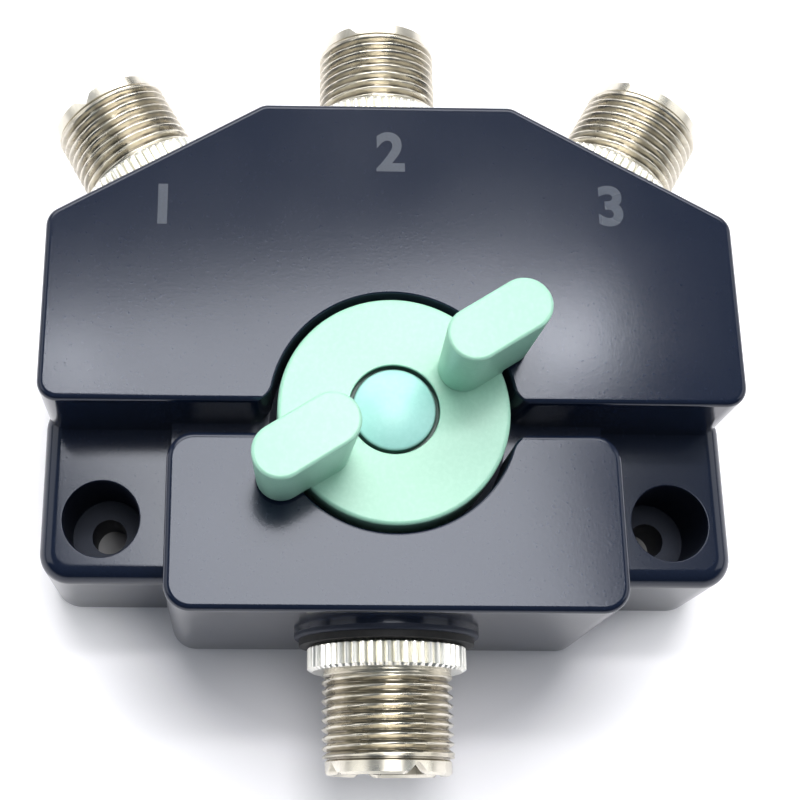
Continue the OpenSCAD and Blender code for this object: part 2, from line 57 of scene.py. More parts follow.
# ---- Sizes of the casting ----
BODY_H = 33.0
BODY_W = 84.4
REAR_D = 40.0
SLANT_D = 42.5
PORT_ANGLE = 30.0
STEP_Y = 0.9
CHANNEL_W = 3.7
CHANNEL_H = 23.2
FRONT_W = 53.2
FRONT_D = 23.5
EAR_H = 20.0
EAR_D = 18.1
EAR_PROUD = 0.3
DRAFT = 0.5
REAR_CORNER_R = 2.5
FRONT_CORNER_R = 3.2
EAR_CORNER_R = 3.8
CUTOUT_CORNER_R = 2.6  # rounder than in the solid
EDGE_R = 0.8
CUTOUT_EDGE = 0.3
EAR_EDGE_R = 2.2
FOOT_EDGE = 0.35
GAP_FLOOR_FOOT = 0.4
PORT_WALL = 4.0
ROOF = 3.0
DECK_T = 3.0
POCKET_R = 14.6
POCKET_WALL = 2.2
BOSS_R = 11.3
BOSS_T = 0.7
BOSS_EDGE = 0.35
EAR_HOLE_X = 35.2
EAR_HOLE_Y = -10.6
EAR_HOLE_R = 2.25
EAR_RECESS_R = 4.75
EAR_RECESS_EDGE = 0.15
EAR_FLOOR = 8.0
COVER_T = 1.5
COVER_RIM = 2.2
BUSHING_R = 4.3
CHAMBER_R = 17.0
POST_R = 3.6
PASSAGE_R = 4.5
PASSAGE_LAP = 0.3
BALL_R = 8.3
BALL_HOLE_R = 1.35
BALL_HOLE_D = 2.2
COVER_SCREW_R = 1.5
COVER_SCREW_L = 9.5
SCREW_POSTS = [(-35.5, 15.0), (35.5, 15.0), (-21.5, -18.0), (21.5, -18.0)]

# ---- Sizes of the ports ----
AXIS_H = 16.5
GASKET_T = 0.8
SEAT_T = DRAFT + BOSS_T + GASKET_T
SEAT_IN = SEAT_T + PORT_WALL
BORE_FIT = 0.1
RING_R = 9.7
RING_T = 3.1
RING_TEETH = 58
RING_TOOTH = 0.5
RING_TOOTH_FLAT = 1.35  # above 1 the teeth get a narrow flat crest
RING_EDGE = 0.35
RING_EDGE_DEPTH = 1.6 * RING_EDGE
THREAD_R = 7.9375
THREAD_L = 10.0
THREAD_PITCH = 1.1
THREAD_DEPTH = 0.62
THREAD_GAP = 0.4
THREAD_END = 0.1
THREAD_FADE = 0.5
THREAD_RUNOUT = 0.1
THREAD_ROOT = 0.12  # share of half a pitch
THREAD_FLANK = 0.72  # share of half a pitch
NECK_R = 7.7375
RIM_R = 7.6
RIM_L = 2.0
RIM_BEVEL = 0.3
RIM_RELIEF = 0.25
RIM_RELIEF_L = 0.25
RIM_FOOT = 0.45
SHOULDER = RING_T + THREAD_L
SHELL_L = SHOULDER + RIM_L
SOCKET_R = 6.1
SOCKET_BEVEL = 0.35
SOCKET_LIP = 3.0
NOTCHES = 4
NOTCH_DEPTH = 1.5
NOTCH_HALF_W = 1.4
NOTCH_TURN = 67.0

# ---- Sizes of the knob ----
KNOB_R = 13.75
KNOB_TOP = BODY_H + 0.3
KNOB_BOTTOM = CHANNEL_H + 0.8
KNOB_EDGE = 0.5
KNOB_ANGLE = 58.0
WING_TOP = BODY_H + 13.85
WING_AT = 12.65
WING_L = 13.0
WING_W = 6.3
WING_FLARE = 0.6
WING_FLARE_SIDE = 0.25
WING_EDGE = 0.4
WING_FOOT = BODY_H + 1.1
WING_REACH = 9.0
CAP_R = 5.0
CAP_RISE = 0.9
CAP_EDGE = 0.3
CAP_SIDE_EDGE = 0.25
CAP_DOME_IN = 0.1
CAP_GROOVE = 0.4
CAP_GROOVE_D = 1.5
CAP_ROOT = 0.9
GROOVE_LIP = 0.15
HUB_BOTTOM = CHANNEL_H + 1.4
HUB_ROOM_R = 10.8
KNOB_FLOOR = 28.8
CAP_SEAT = 29.8
SHAFT_R = 3.0
SCREW_HOLE_R = 1.6
DIMPLE_R = 1.25
DIMPLE_FLOOR_R = 0.6
DIMPLE_D = 0.5

# ---- Printed numbers ----
MARK_H = 5.0
MARK_T = 0.02
MARK_BOLD = 0.24
DIGIT_SHARE = 0.7  # a digit's height as a share of its font's size
MARKS = {"1": (-28.0, 25.7), "2": (0.2, 33.1), "3": (27.4, 26.1)}

# ---- How finely shapes are made ----
ROUND = 96
FINE_ROUND = 128
DISC_ROUND = 160
HOLE_ROUND = 48
SMALL_ROUND = 32
BARREL_ROUND = 144
TOOTH_POINTS = 6
THREAD_POINTS = 10
CORNER_STEPS = 10
BLOCK_EDGE_STEPS = 8
CUTOUT_EDGE_STEPS = 5
EDGE_STEPS = 6
LIP_STEPS = 3
WING_END_STEPS = 20
DOME_STEPS = 24
FLAT_FACE_WEIGHT = 80
PAST = 1.0  # how far a cutter starts outside the surface that it cuts
HAIR = 0.01  # keeps two faces out of one plane
AXIS_R = 1e-4  # a ring of points at the axis


# ---- Plane outlines ----


def meet(angle_a, dist_a, angle_b, dist_b):
    """The point where two lines meet, each given by its normal's angle and its distance."""
    a, b = math.radians(angle_a), math.radians(angle_b)
    det = math.sin(b - a)
    return (
        (dist_a * math.sin(b) - dist_b * math.sin(a)) / det,
        (dist_b * math.cos(a) - dist_a * math.cos(b)) / det,
    )


def outline(faces, corner_r, grow):
    """A closed outline with straight faces and round corners."""
    points = []
    for i, (angle_a, dist_a) in enumerate(faces):
        angle_b, dist_b = faces[(i + 1) % len(faces)]
        turn = (angle_b - angle_a + 360) % 360
        cx, cy = meet(angle_a, dist_a + grow - corner_r, angle_b, dist_b + grow - corner_r)
        points += arc(cx, cy, corner_r, angle_a, turn, CORNER_STEPS)
    return points


def arc(cx, cy, radius, start, turn, steps):
    """Points of an arc from a start angle, over a turn."""
    points = []
    for s in range(steps + 1):
        t = math.radians(start + turn * s / steps)
        points.append((cx + radius * math.cos(t), cy + radius * math.sin(t)))
    return points


REAR_FACES = [
    (0, BODY_W / 2),
    (90 - PORT_ANGLE, SLANT_D),
    (90, REAR_D),
    (90 + PORT_ANGLE, SLANT_D),
    (180, BODY_W / 2),
    (270, -STEP_Y),
]
FRONT_FACES = [
    (0, FRONT_W / 2),
    (90, STEP_Y - CHANNEL_W),
    (180, FRONT_W / 2),
    (270, FRONT_D),
]
CHANNEL_FACES = [
    (0, FRONT_W / 2),
    (90, STEP_Y + PORT_WALL),
    (180, FRONT_W / 2),
    (270, EAR_D - PORT_WALL),
]
EAR_FACES = [
    (0, BODY_W / 2 + EAR_PROUD),
    (90, STEP_Y + EAR_CORNER_R),
    (180, BODY_W / 2 + EAR_PROUD),
    (270, EAR_D),
]
COVER_FRONT_FACES = [
    (0, FRONT_W / 2),
    (90, CHAMBER_R),
    (180, FRONT_W / 2),
    (270, FRONT_D),
]


def port_shift():
    """How far the outer ports stand off the line from the knob's axis.

    It puts each of them in the middle of its slanted face.
    """
    side = meet(0, BODY_W / 2, 90 - PORT_ANGLE, SLANT_D)
    rear = meet(90 - PORT_ANGLE, SLANT_D, 90, REAR_D)
    x, y = (side[0] + rear[0]) / 2, (side[1] + rear[1]) / 2
    a = math.radians(PORT_ANGLE)
    return x * math.cos(a) - y * math.sin(a)


SHIFT = port_shift()
PORTS = {
    "common": (270.0, 0.0, FRONT_D),
    "port_1": (90.0 + PORT_ANGLE, SHIFT, SLANT_D),
    "port_2": (90.0, 0.0, REAR_D),
    "port_3": (90.0 - PORT_ANGLE, -SHIFT, SLANT_D),
}


def frame_matrix(x_axis, y_axis, z_axis, origin):
    """The matrix that puts a local frame in place."""
    rows = zip(x_axis, y_axis, z_axis, origin)
    return Matrix((*rows, (0, 0, 0, 1)))


def port_matrix(port):
    """Local +Z is the port's axis, outwards, from where the knurled ring meets the gasket."""
    angle, shift, dist = PORTS[port]
    a = math.radians(angle)
    out = Vector((math.cos(a), math.sin(a), 0))
    side = Vector((-math.sin(a), math.cos(a), 0))
    origin = out * (dist + SEAT_T) + side * shift + Vector((0, 0, AXIS_H))
    return frame_matrix(Vector((0, 0, -1)), side, out, origin)


# ---- Mesh helpers ----


def mesh_object(name, verts, faces, matrix=None):
    """A mesh whose points are given in millimetres."""
    mesh = bpy.data.meshes.new(name)
    move = matrix or Matrix.Identity(4)
    mesh.from_pydata([(move @ Vector(v)) * MM for v in verts], [], faces)
    mesh.validate()
    obj = placed(name, mesh)
    bm = bmesh.new()
    bm.from_mesh(mesh)
    bmesh.ops.recalc_face_normals(bm, faces=bm.faces)
    bm.to_mesh(mesh)
    bm.free()
    return obj


def placed(name, data):
    """A new object in the scene."""
    obj = bpy.data.objects.new(name, data)
    bpy.context.collection.objects.link(obj)
    return obj


def evaluated_mesh(obj):
    """The object's mesh with its modifiers applied, or a text's mesh."""
    graph = bpy.context.evaluated_depsgraph_get()
    return bpy.data.meshes.new_from_object(obj.evaluated_get(graph))


def band(low, high, count):
    """Quads between two rings of equally many points."""
    faces = []
    for i in range(count):
        j = (i + 1) % count
        faces.append((low * count + i, low * count + j, high * count + j, high * count + i))
    return faces


def lofted(name, slices, matrix=None):
    """A closed solid through level outlines, each given as (points, z)."""
    rings, count = len(slices), len(slices[0][0])
    verts = [(x, y, z) for points, z in slices for x, y in points]
    faces = [quad for r in range(rings - 1) for quad in band(r, r + 1, count)]
    faces.append(tuple(range(count))[::-1])
    faces.append(tuple((rings - 1) * count + i for i in range(count)))
    return mesh_object(name, verts, faces, matrix)


def prism(name, points, z0, z1):
    return lofted(name, [(points, z0), (points, z1)])


def on_circle(radius, i, steps):
    t = 2 * math.pi * i / steps
    return radius * math.cos(t), radius * math.sin(t)


def turned(name, profile, steps=ROUND, matrix=None):
    """A solid of revolution about local Z, from a profile that starts and ends on the axis."""
    slices = []
    for r, z in profile:
        slices.append(([on_circle(max(r, AXIS_R), i, steps) for i in range(steps)], z))
    return lofted(name, slices, matrix)


def looped(name, rings, matrix=None):
    """A ring about local Z, whose profile is closed. Each of its rings is a list of (r, z)."""
    count, steps = len(rings), len(rings[0])
    verts = [(*on_circle(r, i, steps), z) for ring in rings for i, (r, z) in enumerate(ring)]
    faces = [quad for p in range(count) for quad in band(p, (p + 1) % count, steps)]
    return mesh_object(name, verts, faces, matrix)


def cylinder(name, r, z0, z1, x=0.0, y=0.0, matrix=None, steps=ROUND):
    place = (matrix or Matrix.Identity(4)) @ Matrix.Translation((x, y, 0))
    return turned(name, [(0, z0), (r, z0), (r, z1), (0, z1)], steps, place)


def rounding(edge, steps):
    """Steps over a rounded edge: how far each is pulled in and how far it is below the top."""
    for s in range(steps + 1):
        a = math.radians(90 * s / steps)
        yield edge * (1 - math.cos(a)), edge * (1 - math.sin(a))


def combine(obj, tool, operation):
    """Joins a solid with another one or cuts it with that, which is used up."""
    modifier = obj.modifiers.new("combine", "BOOLEAN")
    modifier.operation = operation
    modifier.solver = "EXACT"
    modifier.object = tool
    apply_modifiers(obj)
    mesh = tool.data
    bpy.data.objects.remove(tool)
    bpy.data.meshes.remove(mesh)


def join(obj, tool):
    combine(obj, tool, "UNION")


def cut(obj, tool):
    combine(obj, tool, "DIFFERENCE")


def apply_modifiers(obj):
    made = evaluated_mesh(obj)
    old = obj.data
    obj.modifiers.clear()
    obj.data = made
    bpy.data.meshes.remove(old)


def smooth(obj, sharp_from):
    """Smooth shading that keeps flat faces, and edges sharper than an angle."""
    obj.data.shade_smooth()
    obj.data.set_sharp_from_angle(angle=math.radians(sharp_from))
    modifier = obj.modifiers.new("flat faces", "WEIGHTED_NORMAL")
    modifier.keep_sharp = True
    modifier.weight = FLAT_FACE_WEIGHT
    apply_modifiers(obj)


def dress(obj, material, body):
    obj.data.materials.clear()
    obj.data.materials.append(material)
    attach(obj, body)


# ---- Casting ----


def lean(z):
    """How far the leaning walls stand out at a height."""
    return DRAFT * (1 - z / BODY_H)


def block(name, faces, height, corner_r, edge_r):
    """A block with leaning walls, a rounded top edge and a small bevel at its foot."""
    slices = [
        (outline(faces, corner_r - FOOT_EDGE, lean(0) - FOOT_EDGE), 0.0),
        (outline(faces, corner_r, lean(FOOT_EDGE)), FOOT_EDGE),
    ]
    for pull, down in rounding(edge_r, BLOCK_EDGE_STEPS):
        points = outline(faces, corner_r - pull, lean(height - edge_r) - pull)
        slices.append((points, height - down))
    return lofted(name, slices)


def port_seat(port):
    """The raised seat of a port, rooted in the wall."""
    root, face = PAST - SEAT_IN, -GASKET_T
    profile = [(0, root), (BOSS_R, root), (BOSS_R, face - BOSS_EDGE)]
    profile += arc(BOSS_R - BOSS_EDGE, face - BOSS_EDGE, BOSS_EDGE, 0, 90, EDGE_STEPS)[1:]
    profile += [(0, face)]
    return turned("seat", profile, ROUND, port_matrix(port))


def flared_hole(name, r, z0, mouth, edge, x=0.0, y=0.0):
    """A cutter for a round recess whose mouth has a rounded edge."""
    above = mouth + 6 * PAST
    profile = [(0, z0), (r, z0), (r, mouth - edge)]
    profile += arc(r + edge, mouth - edge, edge, 180, -90, EDGE_STEPS)[1:]
    profile += [(r + edge + HAIR, above), (0, above)]
    return turned(name, profile, FINE_ROUND, Matrix.Translation((x, y, 0)))


def casting_hollow():
    """The room for the switch, open at the base."""
    deck_h = CHANNEL_H - DECK_T
    room = outline(REAR_FACES, REAR_CORNER_R, -PORT_WALL)
    hollow = prism("hollow", room, -PAST, BODY_H - ROOF)
    cut(hollow, cylinder("pocket_wall", POCKET_R + POCKET_WALL, deck_h, BODY_H))
    join(hollow, cylinder("chamber", CHAMBER_R, -1.2 * PAST, deck_h - 0.1 * HAIR))
    inner, outer = CHAMBER_R - PAST - FRONT_D - SEAT_T, PASSAGE_LAP - SEAT_IN
    join(hollow, cylinder("passage", PASSAGE_R, inner, outer, matrix=port_matrix("common")))
    for x, y in SCREW_POSTS:
        if y > 0:
            cut(hollow, cylinder("post", POST_R, -2 * PAST, BODY_H, x, y))
    return hollow


def cover_pocket():
    """The shallow recess in the base for the cover."""
    rear = outline(REAR_FACES, REAR_CORNER_R, -COVER_RIM)
    front = outline(COVER_FRONT_FACES, FRONT_CORNER_R, -COVER_RIM)
    pocket = prism("cover_pocket", rear, -PAST, COVER_T)
    join(pocket, prism("cover_front", front, -1.1 * PAST, COVER_T))
    return pocket


def cutout_corner(side, wall_y, inward):
    """A cutter that rounds the corner between a block's wall and the knob's cut-out."""
    cy = wall_y + inward * CUTOUT_CORNER_R
    reach = POCKET_R + CUTOUT_CORNER_R
    cx = side * math.sqrt(reach**2 - cy**2)
    past = 2 * CUTOUT_CORNER_R
    to_wall = math.atan2(-inward, 0)
    to_circle = math.atan2(-cy, -cx)
    sweep = (to_wall - to_circle + math.pi) % (2 * math.pi) - math.pi
    start, turn = math.degrees(to_circle), math.degrees(sweep)
    levels = [(0.0, CHANNEL_H)]
    levels += [(pull, BODY_H - down) for pull, down in rounding(CUTOUT_EDGE, CUTOUT_EDGE_STEPS)]
    levels.append((CUTOUT_EDGE, BODY_H + PAST))
    slices = []
    for pull, z in levels:
        points = arc(cx, cy, CUTOUT_CORNER_R - pull, start, turn, CORNER_STEPS)
        points.append((cx, cy - inward * past))
        points.append((cx - side * past, cy - inward * past))
        points.append((cx - past * cx / reach, cy - past * cy / reach))
        slices.append((points, z))
    return lofted("cutout_corner", slices)


def casting(material):
    """The painted casting: rear block, front block, gap, ears, port seats and all its holes."""
    body = block("painted_casting", REAR_FACES, BODY_H, REAR_CORNER_R, EDGE_R)
    join(body, block("front_block", FRONT_FACES, BODY_H, FRONT_CORNER_R, EDGE_R))
    gap_floor = outline(CHANNEL_FACES, EDGE_R, 0)
    join(body, prism("gap_floor", gap_floor, GAP_FLOOR_FOOT, CHANNEL_H))
    join(body, block("ears", EAR_FACES, EAR_H, EAR_CORNER_R, EAR_EDGE_R))
    for port in PORTS:
        join(body, port_seat(port))
    cut(body, casting_hollow())
    cut(body, cover_pocket())
    cut(body, flared_hole("pocket", POCKET_R, CHANNEL_H, BODY_H, CUTOUT_EDGE))
    for side in (-1, 1):
        cut(body, cutout_corner(side, STEP_Y, 1))
        cut(body, cutout_corner(side, STEP_Y - CHANNEL_W, -1))
    cut(body, cylinder("bushing_hole", BUSHING_R, 0, BODY_H))
    low, high = CHANNEL_H - BALL_HOLE_D, BODY_H
    cut(body, cylinder("ball_hole", BALL_HOLE_R, low, high, 0, -BALL_R, steps=SMALL_ROUND))
    for port in PORTS:
        r, inner = NECK_R + BORE_FIT, -SEAT_IN - 2 * HAIR
        cut(body, cylinder("port_hole", r, inner, PAST, matrix=port_matrix(port)))
    for side in (-1, 1):
        x, y = side * EAR_HOLE_X, EAR_HOLE_Y
        low, high, edge = EAR_FLOOR, EAR_H, EAR_RECESS_EDGE
        cut(body, flared_hole("screw_recess", EAR_RECESS_R, low, high, edge, x, y))
        cut(body, cylinder("screw_hole", EAR_HOLE_R, -PAST, EAR_H, x, y, steps=HOLE_ROUND))
    for x, y in SCREW_POSTS:
        r, top = COVER_SCREW_R, COVER_SCREW_L
        cut(body, cylinder("cover_screw_hole", r, -PAST, top, x, y, steps=SMALL_ROUND))
    smooth(body, sharp_from=32)
    dress(body, material, "base")
    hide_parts("body_casting")


# ---- Ports ----


def tooth_radius(i):
    """Radius of the knurled ring's teeth at a point, counted round the ring."""
    phase = (i % TOOTH_POINTS) / TOOTH_POINTS
    height = 1 - abs(2 * phase - 1)
    return RING_R - RING_TOOTH * (1 - min(height * RING_TOOTH_FLAT, 1.0))


def knurled_ring(port, material):
    """A ring with straight V teeth, bevelled at both faces."""
    points = range(RING_TEETH * TOOTH_POINTS)
    levels = [
        (RING_EDGE_DEPTH, 0.0),
        (0.0, RING_EDGE),
        (0.0, RING_T - RING_EDGE),
        (RING_EDGE_DEPTH, RING_T),
    ]
    rings = [[(min(tooth_radius(i), RING_R - pull), z) for i in points] for pull, z in levels]
    rings += [[(NECK_R + 2 * HAIR, z) for i in points] for z in (RING_T, 0.0)]
    ring = looped(port + "_knurled_ring", rings, port_matrix(port))
    smooth(ring, sharp_from=28)
    dress(ring, material, "base")
    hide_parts(port + "_ring")


def share(value):
    """A value held between 0 and 1."""
    return min(max(value, 0.0), 1.0)


def thread_radius(z, turn):
    """Radius of the thread at a height, where turn is the share of a whole turn."""
    start, end = RING_T + THREAD_GAP, SHOULDER - THREAD_END
    phase = ((z - start) / THREAD_PITCH - turn) % 1.0
    crest = share((abs(2 * phase - 1) - THREAD_ROOT) / THREAD_FLANK)
    fade = share((z - start) / THREAD_FADE) * share((end - z) / THREAD_FADE)
    groove = THREAD_DEPTH * (1 - crest) * fade
    runout = (THREAD_R - NECK_R) * (1 - share((z - start) / THREAD_RUNOUT))
    return THREAD_R - max(groove, runout)


def notch_cut(angle):
    """How deep the nearest notch cuts into the rim at an angle, or 0."""
    deepest = 0.0
    for k in range(NOTCHES):
        away = (angle - NOTCH_TURN - 360.0 * k / NOTCHES + 180) % 360 - 180
        arc_length = math.radians(abs(away)) * (RIM_R + SOCKET_R) / 2
        deepest = max(deepest, NOTCH_DEPTH * (1 - arc_length / NOTCH_HALF_W))
    return deepest


def notched_height(z, i):
    """A height near the rim's edge, lowered where a notch is."""
    depth = notch_cut(360 * i / BARREL_ROUND)
    lowest = SHOULDER + RIM_FOOT + HAIR
    return min(z, max(SHELL_L - depth, lowest)) if depth else z


def threaded_shell(port, material):
    """The outer conductor: threaded barrel, plain rim with V notches, smooth inside."""
    points = range(BARREL_ROUND)
    rings = [[(NECK_R, z) for i in points] for z in (-SEAT_IN, RING_T)]
    count = int(THREAD_L / (THREAD_PITCH / THREAD_POINTS))
    for s in range(1, count + 1):
        z = RING_T + THREAD_L * s / count
        rings.append([(thread_radius(z, i / BARREL_ROUND), z) for i in points])
    rim = [
        (RIM_R - RIM_RELIEF, SHOULDER + 2 * HAIR, False),
        (RIM_R - RIM_RELIEF, SHOULDER + RIM_RELIEF_L, False),
        (RIM_R, SHOULDER + RIM_FOOT, False),
        (RIM_R, SHELL_L - RIM_BEVEL, True),
        (RIM_R - RIM_BEVEL, SHELL_L, True),
        (SOCKET_R + SOCKET_BEVEL, SHELL_L, True),
        (SOCKET_R, SHELL_L - SOCKET_BEVEL, True),
        (SOCKET_R, SHELL_L - SOCKET_LIP, False),
        (SOCKET_R, -SEAT_IN, False),
    ]
    for r, z, notched in rim:
        rings.append([(r, notched_height(z, i) if notched else z) for i in points])
    shell = looped(port + "_threaded_shell", rings, port_matrix(port))
    smooth(shell, sharp_from=40)
    dress(shell, material, "base")
    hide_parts(port + "_shell")


# ---- Knob ----


def stadium(half, r):
    """Outline of a wing: a bar with round ends along +Y."""
    far = arc(0, WING_AT + half, r, 0, 180, WING_END_STEPS)
    near = arc(0, WING_AT - half, r, 180, 180, WING_END_STEPS)
    return far + near


def wing(spin):
    """A wing of the knob: it leans out towards its top, which has a rounded rim."""
    end_r = WING_W / 2
    half = WING_L / 2 - end_r
    foot_half = half - WING_FLARE + WING_FLARE_SIDE
    slices = [(stadium(foot_half, end_r - WING_FLARE_SIDE), BODY_H)]
    for pull, down in rounding(WING_EDGE, EDGE_STEPS):
        slices.append((stadium(half, end_r - pull), WING_TOP - down))
    bar = lofted("wing", slices, Matrix.Rotation(math.radians(spin), 4, "Z"))
    near, far = KNOB_R, KNOB_R + WING_REACH
    low, high = BODY_H - PAST, WING_FOOT
    corners = [(near, low), (far, low), (far, high), (near, high)]
    clearance = looped("wing_clearance", [[corner] * DISC_ROUND for corner in corners])
    cut(bar, clearance)
    return bar


def knob(material):
    """The moulded knob: disc, hub and two wings."""
    groove_r = CAP_R + CAP_GROOVE
    groove_z = KNOB_TOP - CAP_GROOVE_D
    edge_z = KNOB_TOP - KNOB_EDGE
    lip_z = KNOB_TOP - GROOVE_LIP
    profile = [
        (0, HUB_BOTTOM),
        (HUB_ROOM_R, HUB_BOTTOM),
        (HUB_ROOM_R, KNOB_BOTTOM),
        (KNOB_R, KNOB_BOTTOM),
        (KNOB_R, edge_z),
    ]
    profile += arc(KNOB_R - KNOB_EDGE, edge_z, KNOB_EDGE, 0, 90, EDGE_STEPS)[1:]
    profile += arc(groove_r + GROOVE_LIP, lip_z, GROOVE_LIP, 90, 90, LIP_STEPS)
    profile += [(groove_r, groove_z), (CAP_R, groove_z), (CAP_R, CAP_SEAT), (0, CAP_SEAT)]
    disc = turned("moulded_knob", profile, DISC_ROUND)
    cut(disc, cylinder("shaft_hole", SHAFT_R, KNOB_BOTTOM, KNOB_FLOOR, steps=HOLE_ROUND))
    cut(disc, cylinder("knob_screw_hole", SCREW_HOLE_R, KNOB_BOTTOM, BODY_H, steps=HOLE_ROUND))
    low, high = HUB_BOTTOM - HAIR, HUB_BOTTOM + DIMPLE_D
    dimple_profile = [(0, low), (DIMPLE_R, low), (DIMPLE_FLOOR_R, high), (0, high)]
    for turn in (-1, 0, 1):
        a = math.radians(-90 + turn * KNOB_ANGLE - KNOB_ANGLE)
        place = Matrix.Translation((BALL_R * math.cos(a), BALL_R * math.sin(a), 0))
        cut(disc, turned("dimple", dimple_profile, SMALL_ROUND, place))
    for half_turn in (0, 180):
        join(disc, wing(half_turn - KNOB_ANGLE))
    smooth(disc, sharp_from=34)
    dress(disc, material, "knob")
    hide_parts("knob")


def knob_cap(material):
    """The domed cap in the knob's middle."""
    edge_z = KNOB_TOP - CAP_EDGE
    root_z = KNOB_TOP - CAP_GROOVE_D - CAP_ROOT
    rise = CAP_RISE + CAP_EDGE
    dome_r = (CAP_R**2 + rise**2) / (2 * rise)
    half = math.degrees(math.asin(CAP_R / dome_r))
    dome = arc(0, edge_z + rise - dome_r, dome_r, 90 - half, half, DOME_STEPS)
    profile = [(0, root_z), (CAP_R, root_z), (CAP_R, edge_z - CAP_SIDE_EDGE)]
    profile += [(min(r, CAP_R - CAP_DOME_IN), z) for r, z in dome]
    cap = turned("domed_cap", profile, FINE_ROUND)
    smooth(cap, sharp_from=40)
    dress(cap, material, "knob")
    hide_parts("knob_cap")


# ---- Printed numbers ----


def printed_numbers(material):
    """Plain numbers beside the rear ports."""
    for word, (x, y) in MARKS.items():
        curve = bpy.data.curves.new("number_" + word, "FONT")
        curve.body = word
        curve.align_x = "CENTER"
        curve.align_y = "CENTER"
        curve.size = MARK_H / DIGIT_SHARE * MM
        curve.offset = MARK_BOLD * MM
        curve.extrude = MARK_T * MM
        text = placed("number_" + word, curve)
        mesh = evaluated_mesh(text)
        bpy.data.objects.remove(text)
        mark = placed("printed_number_" + word, mesh)
        mesh.transform(Matrix.Translation((x * MM, y * MM, BODY_H * MM)))
        dress(mark, material, "base")


# ---- Node helpers ----


def put(tree, kind, links=(), **values):
    """Adds a node with its settings. Links are (socket, source or value) pairs."""
    node = tree.nodes.new(kind)
    for key, value in values.items():
        setattr(node, key, value)
    for socket, source in links:
        if hasattr(source, "node"):
            tree.links.new(source, node.inputs[socket])
        else:
            node.inputs[socket].default_value = source
    return node


def spread(tree, value, low, high, to_low=0.0, to_high=1.0):
    """A value taken from one range to another and held inside it."""
    links = [
        ("Value", value),
        ("From Min", low),
        ("From Max", high),
        ("To Min", to_low),
        ("To Max", to_high),
    ]
    return put(tree, "ShaderNodeMapRange", links).outputs[0]


def reckon(tree, operation, *values):
    """The result of a Math node."""
    return put(tree, "ShaderNodeMath", enumerate(values), operation=operation).outputs[0]


def measure(tree, *places):
    """How long one place's vector is, or how far two places are apart."""
    operation = "LENGTH" if len(places) == 1 else "DISTANCE"
    node = put(tree, "ShaderNodeVectorMath", enumerate(places), operation=operation)
    return node.outputs["Value"]


def mix(tree, factor, a, b):
    """A colour between two, each given as a socket or as three numbers.

    Sockets 6 and 7 of the node are its two colours.
    """
    a, b = (c if hasattr(c, "node") else (*c, 1.0) for c in (a, b))
    links = [("Factor", factor), (6, a), (7, b)]
    return put(tree, "ShaderNodeMix", links, data_type="RGBA").outputs[2]


def seen_from_above(tree, place):
    """A place's own parts, and the place without its height, folded over to the right side."""
    parts = put(tree, "ShaderNodeSeparateXYZ", [(0, place)]).outputs
    folded = reckon(tree, "ABSOLUTE", parts["X"])
    flat = put(tree, "ShaderNodeCombineXYZ", [("X", folded), ("Y", parts["Y"])])
    return parts, flat.outputs["Vector"]


def place_group(tree, name, values):
    """Uses a shared shader group, with values of its own."""
    node = put(tree, "ShaderNodeGroup", node_tree=bpy.data.node_groups[name])
    for label, value in values.items():
        node.inputs[label].default_value = value
    return node.outputs


# ---- Shader groups ----

# Each of these is a range of a noise or of Pointiness, and is spread from 0 to 1.
SPECK_RANGE = (0.42, 0.75)
BLOTCH_RANGE = (0.3, 0.7)
HOLLOW_RANGE = (0.49, 0.42)


def new_group(name, inputs, outputs):
    """An empty shader group with inputs given as (name, default) and outputs as names."""
    group = bpy.data.node_groups.new(name, "ShaderNodeTree")
    face = group.interface
    for label, value in inputs:
        socket = face.new_socket(name=label, in_out="INPUT", socket_type="NodeSocketFloat")
        socket.default_value = value
    for label in outputs:
        face.new_socket(name=label, in_out="OUTPUT", socket_type="NodeSocketFloat")
    return group, group.nodes.new("NodeGroupInput"), group.nodes.new("NodeGroupOutput")


def speckle_group():
    """Fine specks and soft blotches for paint, plating and moulded plastic."""
    group, source, sink = new_group(
        "fine_speckle",
        [("Scale", 1000.0), ("Blotch Scale", 60.0)],
        ["Specks", "Blotches", "Height"],
    )
    place = put(group, "ShaderNodeTexCoord").outputs["Object"]
    noise = []
    for label, detail, roughness in (("Scale", 3.0, 0.6), ("Blotch Scale", 2.0, 0.5)):
        links = [
            ("Vector", place),
            ("Scale", source.outputs[label]),
            ("Detail", detail),
            ("Roughness", roughness),
        ]
        noise.append(put(group, "ShaderNodeTexNoise", links).outputs["Fac"])
    fine, broad = noise
    group.links.new(spread(group, fine, *SPECK_RANGE), sink.inputs["Specks"])
    group.links.new(spread(group, broad, *BLOTCH_RANGE), sink.inputs["Blotches"])
    group.links.new(fine, sink.inputs["Height"])


def edge_group():
    """One mask for outside edges and ridges, for wear and a painted highlight, and one for
    hollows.
    """
    group, source, sink = new_group(
        "worn_and_highlit_edges",
        [("Low", 0.52), ("High", 0.62)],
        ["Edges", "Hollows"],
    )
    shape = put(group, "ShaderNodeNewGeometry").outputs["Pointiness"]
    edges = spread(group, shape, source.outputs["Low"], source.outputs["High"])
    group.links.new(edges, sink.inputs["Edges"])
    group.links.new(spread(group, shape, *HOLLOW_RANGE), sink.inputs["Hollows"])


# ---- Finishes ----

SCREW_HOLE_AT = (EAR_HOLE_X * MM, EAR_HOLE_Y * MM, 0)
# How far outside the matt places the paint starts to turn matt, and how much rougher it is.
HOLE_FADE = 0.12
SEAT_FADE = 0.1
MATT_ADDED = 0.45
# Painted shade in the groove round the cap: it darkens from the first to the second of each pair:
# outside its wall and below the knob's top.
GROOVE_OUTSIDE = (0.1, 0.02)
GROOVE_BELOW = (0.12, 0.45)
GROOVE_PAINTED_SHADE = (0.05, 0.14, 0.11)


